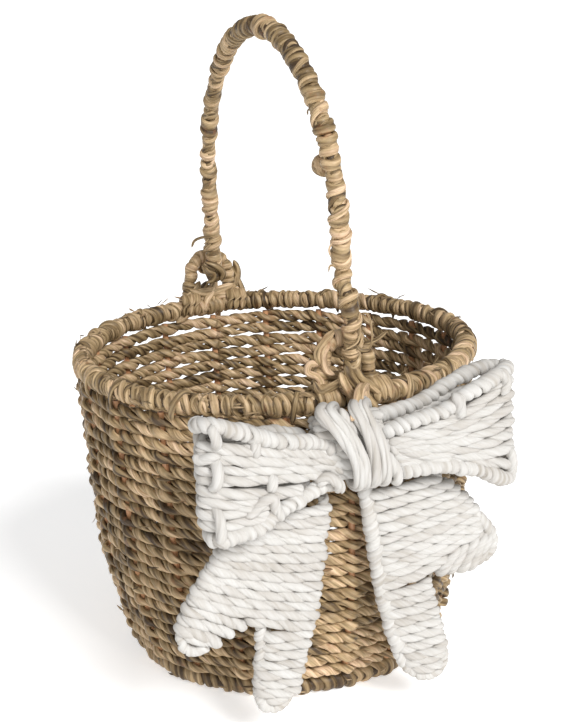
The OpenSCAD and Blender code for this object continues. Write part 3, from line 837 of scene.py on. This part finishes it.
RIGHT_TOP = [
    [6.0, -113.6, 142.5], [11.1, -114.8, 143.6], [18.2, -116.9, 146.1], [25.4, -118.7, 147.8],
    [31.6, -119.4, 149.0], [36.2, -120.0, 151.1], [41.6, -120.7, 155.0], [48.9, -120.8, 157.8],
    [55.7, -120.6, 160.5], [61.5, -118.8, 162.6], [66.5, -115.5, 162.5], [69.2, -110.5, 161.6],
    [67.5, -106.0, 161.2], [62.8, -104.3, 161.4], [56.1, -104.3, 160.6], [49.3, -104.3, 158.6],
    [44.3, -104.3, 156.7], [37.6, -104.3, 153.7], [32.6, -104.3, 151.0], [27.6, -104.3, 149.6],
    [22.7, -104.3, 148.5], [16.1, -104.3, 147.6], [8.0, -104.3, 146.5]]
RIGHT_BOTTOM = [
    [10.0, -114.6, 124.2], [15.0, -115.9, 123.9], [20.7, -117.6, 124.2], [28.2, -119.0, 124.2],
    [35.1, -119.9, 124.1], [40.5, -120.6, 122.2], [48.7, -120.8, 119.7], [55.5, -120.6, 116.4],
    [62.1, -119.3, 112.9], [67.0, -116.0, 111.8], [69.0, -111.0, 111.8], [64.5, -105.4, 112.2],
    [44.0, -104.0, 119.0], [24.0, -104.2, 125.0], [8.2, -105, 128.5]]
RIGHT_ROWS = [front_row("right", 8.1 + 0.15 * i * i, 136.8 - 2.5 * i + 0.1 * i * i,
                        65.5 + 0.4 * i, 157.5 - 6.3 * i, 1.6 - 0.4 * i) for i in range(6)] + [
    front_row("right", 44, 124.6, 67, 118.8, 0.3)]
RIGHT_BITS = [
    [[36.8, -121.0, 157.7], [39.4, -122.9, 153.6], [40.4, -121.7, 145.8]],
    [[66.4, -119.0, 126.7], [68.4, -118.3, 119.4], [68.0, -117.1, 111.8]],
    [[60.2, -121.3, 165.0], [64.1, -120.5, 158.9], [61.2, -121.0, 152.7]]]

LT_BACK = [
    (-77.5, -112.5, 158.6), (-74, -106.8, 156.0), (-62, -104.6, 150.8), (-44, -104.4, 146.8),
    (-27, -105, 143.0)]
LB_BACK = [
    (-74.6, -113.5, 108.6), (-70.5, -106.5, 109.5), (-59, -104.8, 112), (-44, -104.6, 118.8),
    (-27, -105, 124.5)]
for side, top, bot, sd in (("left", LT_BACK[::-1] + LEFT_TOP, LB_BACK[::-1] + LEFT_BOTTOM, 50),
                           ("right", RIGHT_TOP, RIGHT_BOTTOM, 60)):
    for nm, pts in (("top", top), ("bottom", bot)):
        P = np.array(pts, float) * MM
        st = [wrap(P, (0, 0, 1), 4.35 * MM, 4.05 * MM, 2.55 * MM, 1.75 * MM, sd + len(nm), slant=1.3 * MM,
                   jit=0.45 * MM, rough=0.35 * MM, tone=(0.2, 0.9), sides=14, ridge=0.12, lobes=3,
                   fibre_twist=120, taper=3 * MM),
              core(P, 1.9 * MM, tone=0.2)]
        build("bow_%s_%s_wrapping" % (side, nm), st, PAPER, "basket",
              ("bow_%s_%s_edge" % (side, nm),))

st = []
for i, row in enumerate(LEFT_ROWS):
    z = row[0][2]
    f = (z - 112) / 40
    zb = [(1 - f) * b[2] + f * t[2] for b, t in zip(LB_BACK, LT_BACK)]
    zb[0] = z
    bk = [(t[0] + (0 if k else 0.6), t[1], zz) for k, (t, zz) in enumerate(zip(LT_BACK, zb))]
    P = bk[::-1] + row
    st += cord(P, -outward(P), 500 + 7 * i, p=1.75 + 0.1 * (i % 3 == 1), o=1.05, lay=24 + 3 * (i % 3))
st += cord(LEFT_OVER, (0.1, -1, 0), 571, p=1.9, o=0.5, lay=40)
for i, b in enumerate(LEFT_BITS):
    st += cord(b, (0.1, -1, 0), 580 + i, p=1.7, o=0.7, lay=20, taper=2.5)
build("bow_left_ropes", st, PAPER, "basket", ("bow_left_fill",))

RT_BACK = [
    (69.0, -111.0, 158.5), (66, -105.6, 157.5), (44, -104.6, 152.0), (24, -104.6, 145.0),
    (8.2, -105, 142.5)]
RB_BACK = [
    (68.6, -111.0, 115.5), (64.5, -105.8, 115.5), (44, -104.6, 122.0), (24, -104.6, 128.0),
    (8.2, -105, 131.5)]
st = []
for i, row in enumerate(RIGHT_ROWS):
    z = row[-1][2]
    f = (z - 114) / 46
    zb = [(1 - f) * b[2] + f * t[2] for b, t in zip(RB_BACK, RT_BACK)]
    bk = [(t[0], t[1], zz) for t, zz in zip(RT_BACK, zb)]
    P = row + bk
    st += cord(P, outward(P), 600 + 7 * i, p=1.7 + 0.12 * (i % 2), o=1.05, lay=24 + 3 * (i % 3))
for i, b in enumerate(RIGHT_BITS):
    st += cord(b, (0.1, -1, 0), 680 + i, p=1.8, o=0.7, lay=22, taper=2.5)
build("bow_right_ropes", st, PAPER, "basket", ("bow_right_fill",))

# the knot: cords over the middle of the bow, down its front and round its back
KNOT = [[[a + (b - a) * (1 - (1 - t) ** 1.8), y, 156.5 - 33 * t]
         for t, y in zip((0, 0.25, 0.5, 0.75, 1), (-119.5, -121.5, -121.8, -121.5, -119.5))]
        for a, b in ((-24.4, -7.6), (-19.8, -4.8), (-9, 0), (-5, 5))]
st = []
for i, k in enumerate(KNOT):
    a, b = k[0], k[-1]
    over = [(a[0] + 8, -103.6, 140), (a[0] + 8, -103.6, 150.5), (a[0] + 5.5, -108.5, 155.2),
            (a[0] + 2.2, -114.5, 157.2)]
    under = [(b[0] + 1.2, -114.5, 119.8), (b[0] + 1.8, -108, 118.8), (b[0] + 1.8, -103.6, 123),
             (b[0] + 1.0, -103.4, 133)]
    P = over + k + under
    C = resample(np.array(P, float) * MM, FINE)
    out = unit((C - np.array([C[:, 0].mean(), -0.112, 0.139])) * np.array([0.1, 1, 1]))
    st += cord(P, out, 700 + i, p=1.5, o=1.3, lay=85, wob=0.25, plies=3)
# short ends beside the knot
KNOT_ENDS = [
    [[5.5, -117.5, 134.6], [9.0, -119.8, 128.4], [11.3, -118.5, 121.5], [11.5, -113.5, 119.5]],
    [[-27, -116.0, 124.0], [-22.6, -118.0, 127.4], [-17.5, -118.5, 124.4], [-15.5, -116.5, 118.6]],
    [[-15.5, -117.0, 157.0], [-11.5, -119.0, 150.0], [-8.5, -118.5, 143.0]],
    [[-26, -113, 137], [-20, -114, 131], [-14, -115.5, 127]],
    [[3, -113.5, 141], [8, -114.5, 136], [12, -115.5, 131]]]
for i, P in enumerate(KNOT_ENDS):
    st += cord(P, (0.1, -1, 0.1), 720 + i, p=1.7, o=0.9, lay=20, taper=2.5)
# the gathered middle of the ribbons, under the knot
for i in range(6):
    z = 126.5 + 4.6 * i
    for y in (-113.2, -108.8):
        st += cord([(-26, y, z + 0.8), (-9, y - 0.4, z - 0.6), (7, y, z + 0.8)], (0, -1, 0.1), 740 + i,
                   p=2.0, o=1.1, lay=24)
build("bow_knot_ropes", st, PAPER, "basket", ("bow_knot", "bow_core"))

# the strand that ties the knot to the rim, and a thinner one beside it
tp = [[3.0, -101.7, 152], [3.2, -101.9, 158.5], [2.2, -104.5, 162.0], [-3.0, -111, 161.6],
      [-7.5, -118.8, 158.2], [-11.5, -121.6, 152.4]]
beside = [[p[0] + 1.6, p[1], p[2] + 0.2] for p in tp[:-1]]
build("bow_tie_strip", [strip(tp, (0, -0.5, 1), 2.3, 0.7, 3, tone=0.95, taper=5 * MM),
                        strip(beside, (0, -0.5, 1), 1.2, 0.6, 4, tone=0.8, taper=4 * MM)],
      SEA, "basket", ("bow_tie",))

# ---------------------------------------------------------------- tails
TY = 104.8             # how far the tails' middle is in front of the basket's axis


def sagged(ax, az, bx, bz, sag):
    """Points [x, z] from one end of a row to the other, hanging by sag in the middle."""
    return [[ax + (bx - ax) * t, az + (bz - az) * t - 4 * sag * t * (1 - t)] for t in (0, 0.3, 0.65, 1)]


TL_MAIN = [sagged(-38 - 12 * i, 109 - 1.5 * i, -17.6 - 0.8 * i, 108 - 4.3 * i, 0.8 * i) for i in range(3)] + [
    sagged(-64 - 2.3 * i, 103 - 3.2 * i, -20 - 0.75 * i, 95.5 - 4.6 * i, 0.6 + 0.2 * i) for i in range(9)] + [
    sagged(-57, 63, -27, 54, 0.5)]
TL_LOBE = [sagged(-85 - 1.9 * i, 73 - 4.3 * i, -60 - 5.8 * i, 60.6 - 2.9 * i, -1.2) for i in range(3)]
TL_TIP = [
    [-86.5, 65.9], [-88.1, 61.8], [-87.7, 57.4], [-84.9, 53.7], [-80.3, 52.9], [-76.0, 54.0]]
TL_LEG = [sagged(-53 - 0.15 * i, 53 - 4.4 * i, -28.5 - 1.1 * i, 50.5 - 4.4 * i, 0.3) for i in range(7)]
TL_LEGBAND = [
    [-51.1, 59.9], [-51.4, 55.1], [-51.7, 48.6], [-52.1, 42.2], [-52.7, 35.7], [-53.2, 30.1]]
TL_LEGTIP = [
    [-53.3, 27.6], [-53.2, 23.5], [-51.0, 18.8], [-46.7, 16.9], [-42.6, 17.6], [-40.1, 20.4],
    [-38.3, 23.7]]
TR_BAND = [
    [0.2, 118.2], [0.3, 113.8], [1.3, 105.7], [2.5, 96.7], [3.7, 88.4], [4.7, 80.1], [5.8, 71.7],
    [7.0, 64.1], [8.7, 56.3], [10.8, 47.5], [12.9, 39.5], [15.9, 31.2]]
TR_MAIN = [sagged(8 - 0.15 * (i - 6) ** 2, 110.6 - 6 * i + 0.1 * i * i, 57 - 0.35 * (7.5 - i) ** 2,
                  113.5 - 4 * i + 0.04 * i * i, 0.5) for i in range(9)] + [sagged(6.6, 65, 39, 73.4, 1.0)]
TR_LOBE = [sagged(37.7 + 5 * i, 66.3, 46 + 4.6 * i, 77.5 + 1.2 * i, -0.3) for i in range(4)]
TR_TIP = [
    [50.2, 96.8], [54.9, 92.7], [59.6, 87.7], [63.5, 82.0], [64.9, 76.7], [63.4, 72.0], [59.5, 69.4]]
TR_LEG = [sagged(5.6 + 0.9 * i + 0.1 * i * i, 61.1 - 4.7 * i, 31.8 + 1.05 * i, 62.5 - 4.65 * i, 0.8)
          for i in range(8)]
TR_LEGTIP = [
    [15.1, 30.6], [18.3, 24.7], [23.0, 19.4], [27.6, 16.4], [32.8, 15.8], [36.8, 18.4], [38.3, 22.8],
    [38.7, 27.9]]


def across(row, seed, cut=0.0, p=1.6, o=1.05, **kw):
    """A cord across a tail through the points [x, z], turned back behind the frame at both ends."""
    Q = np.array([[x, 0, z] for x, z in row], float)
    Q[0] += unit(Q[1] - Q[0]) * cut
    dA, dB = unit(Q[1] - Q[0]), unit(Q[-2] - Q[-1])
    F, K = -(TY + 1.9), -(TY - 1.6)
    P = [Q[0] + dA * 4.5 + (0, K, 0.5), Q[0] + dA * 1.5 + (0, K, 0.4), Q[0] + dA * 0.2 + (0, -TY, 0.2)]
    for k, q in enumerate(Q):
        e = dA * 1.8 if k == 0 else (dB * 1.8 if k == len(Q) - 1 else dA * 0)
        P.append(q + e + (0, F - (0.5 if 0 < k < len(Q) - 1 else 0), 0))
    P += [Q[-1] + dB * 0.2 + (0, -TY, -0.3), Q[-1] + dB * 1.5 + (0, K, -0.5), Q[-1] + dB * 4.5 + (0, K, -0.6)]
    C = resample(np.array(P) * MM, FINE)
    m = (Q[0] + Q[-1]) / 2
    out = unit((C - np.array([0, -TY * MM, 0]) - m * MM) * np.array([0.06, 1, 0.02]) + 1e-7)
    return cord(P, out, seed, p=p, o=o, **kw)


def band(P2, seed, r=3.0, pitch=4.3, a=2.45, slant=0.9 * MM):
    """A wrapped edge of a tail through the points [x, z]."""
    P = np.array([(x, -TY, z) for x, z in P2], float) * MM
    return [wrap(P, (0, -1, 0), pitch * MM, r * MM, a * MM, 1.5 * MM, seed, jit=0.3 * MM, rough=0.25 * MM,
                 tone=(0.25, 0.85), sides=14, ridge=0.12, lobes=3, fibre_twist=120, taper=2.5 * MM,
                 slant=slant),
            core(P, 1.7 * MM, tone=0.3)]


st = []
for i, row in enumerate(TL_MAIN):
    st += across(row, 800 + i, lay=19 + (i % 3), p=1.68 + 0.1 * (i % 2))
for i, row in enumerate(TL_LOBE):
    st += across(row, 830 + i, lay=17, p=1.8)
st += across([[-86.3, 61.2], [-80.5, 58.6], [-74.5, 55.4]], 839, p=1.8, o=0.9)
st += band(TL_TIP, 841, r=3.1, pitch=4.6) + band([[-18.7, 114.0], [-19.4, 107.5]], 842, r=2.7)
build("tail_left_ropes", st, PAPER, "basket", ("tail_left_fill", "tail_left_edge"))
st = []
for i, row in enumerate(TL_LEG):
    st += across(row, 850 + i, lay=18 + (i % 3), cut=3.0 * (i < 3), p=1.66)
st += band(TL_LEGBAND, 861, r=3.0, pitch=4.6) + band(TL_LEGTIP, 862, r=3.1, pitch=4.3)
st += across([[-50.8, 26.0], [-45.0, 24.6], [-40.0, 25.4]], 870, p=1.7)
st += across([[-49.8, 21.6], [-42.0, 20.6]], 871, p=1.8, o=0.8)
build("tail_left_leg_ropes", st, PAPER, "basket")

st = []
for i, row in enumerate(TR_MAIN):
    st += across(row, 900 + i, lay=19 + (i % 3), p=1.72 + 0.1 * (i % 2))
for i, row in enumerate(TR_LOBE):
    st += across(row, 930 + i, lay=17, p=1.7)
st += across([[56.4, 67.8], [59.6, 74.0], [62.6, 80.5]], 939, p=1.7)
st += band(TR_TIP, 941, r=3.3, pitch=4.4)
build("tail_right_ropes", st, PAPER, "basket", ("tail_right_fill",))
st = []
for i, row in enumerate(TR_LEG):
    st += across(row, 950 + i, lay=18 + (i % 3), cut=2.0, p=1.68)
st += band(TR_LEGTIP, 962, r=3.2, pitch=4.4)
st += band([[x + 1.0, z] for x, z in TR_BAND], 963, r=4.1, pitch=4.5, a=2.65, slant=1.2 * MM)
st += across([[19.5, 25.2], [29.0, 25.4], [37.6, 25.6]], 971, p=1.7)
st += across([[23.0, 21.0], [30.0, 20.2], [36.0, 21.2]], 972, p=1.7)
build("tail_right_leg_ropes", st, PAPER, "basket", ("tail_right_edge",))

# ---------------------------------------------------------------- stage and light
me = bpy.data.meshes.new("floor")
me.from_pydata([(-30, -30, 0), (30, -30, 0), (30, 30, 0), (-30, 30, 0)], [], [(0, 1, 2, 3)])
fl = bpy.data.objects.new("floor", me)
bpy.context.scene.collection.objects.link(fl)
mt, nt, bs = material("floor")
bs.inputs["Base Color"].default_value = (0.95, 0.95, 0.95, 1)
bs.inputs["Roughness"].default_value = 0.9
bs.inputs["Specular IOR Level"].default_value = 0.1
bs.inputs["Emission Color"].default_value = (1, 1, 1, 1)
bs.inputs["Emission Strength"].default_value = 0.5
me.materials.append(mt)
fl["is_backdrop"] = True

world = bpy.data.worlds.new("world")
bpy.context.scene.world = world
world.use_nodes = True
world.node_tree.nodes["Background"].inputs["Color"].default_value = (1, 1, 1, 1)
world.node_tree.nodes["Background"].inputs["Strength"].default_value = 0.33


def lamp(kind, name, loc, target, power, size):
    """A light at loc that points at target; size is the sun's angle or the disk's width."""
    d = bpy.data.lights.new(name, kind)
    d.energy = power
    if kind == "SUN":
        d.angle = size
    else:
        d.shape, d.size = "DISK", size
    o = bpy.data.objects.new(name, d)
    bpy.context.scene.collection.objects.link(o)
    o.location = loc
    o.rotation_mode = "QUATERNION"
    o.rotation_quaternion = (Vector(target) - Vector(loc)).to_track_quat("-Z", "Y")


mid = Vector((0, 0, 0.12))
side = Vector((back.x, back.y, 0)).normalized()
lamp("SUN", "key", tuple(side * 1.15 + right * 0.8 + Vector((0, 0, 1.05))), (0, 0, 0), 2.95, math.radians(22))
lamp("AREA", "fill", tuple(side * 1.1 - right * 0.1 + Vector((0, 0, 0.5))), mid, 3.0, 0.9)
bpy.context.scene.view_settings.view_transform = "Standard"
bpy.context.scene.view_settings.look = "None"
bpy.context.scene.view_settings.exposure = 0.0

lo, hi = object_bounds()
